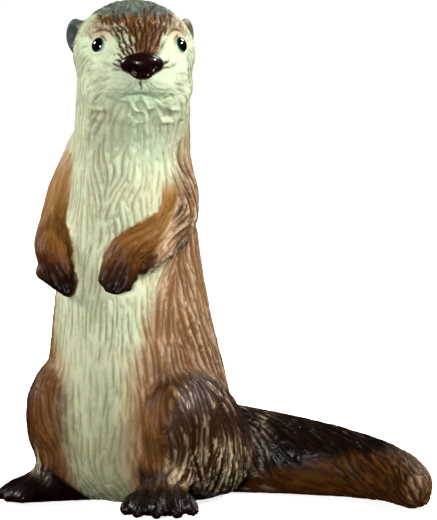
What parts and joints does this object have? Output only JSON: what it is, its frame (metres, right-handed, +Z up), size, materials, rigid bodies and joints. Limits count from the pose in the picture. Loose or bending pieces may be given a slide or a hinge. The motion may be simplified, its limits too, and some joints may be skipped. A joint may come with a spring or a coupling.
{
  "type": "otter toy figurine",
  "caption": "Moulded toy otter sitting up on its haunches, forepaws held to the chest, head turned a little and the thick tail curled round one side as a prop.",
  "frame": {"origin": "on the flat underside of the trunk, below the neck, in the plane that the figure stands on", "axes": "+Z up, +X towards the figure's left side, the belly faces -Y"},
  "size_m": [0.0578, 0.0365, 0.0678],
  "materials": {
    "head": "cream and brown paint over moulded PVC",
    "neck": "cream paint over moulded PVC",
    "trunk": "cream front, brown flanks and back, painted over moulded PVC",
    "tail": "dark brown paint over moulded PVC",
    "forelegs": "tan to brown paint over moulded PVC",
    "hind_legs": "brown paint over moulded PVC",
    "paws": "dark brown paint over moulded PVC",
    "ears": "grey-brown paint over moulded PVC",
    "eyes": "gloss black varnish",
    "nose": "gloss dark maroon varnish"
  },
  "bodies": {
    "root": {"head": "head", "neck": "neck", "trunk": "trunk", "tail": "tail", "foreleg_left": "forelegs", "foreleg_right": "forelegs", "forepaw_left": "paws", "forepaw_right": "paws", "hind_leg_left": "hind_legs", "hind_leg_right": "hind_legs", "hind_foot_left": "paws", "hind_foot_right": "paws", "ear_left": "ears", "ear_right": "ears", "eye_left": "eyes", "eye_right": "eyes", "nose": "nose"}
  },
  "joints": []
}
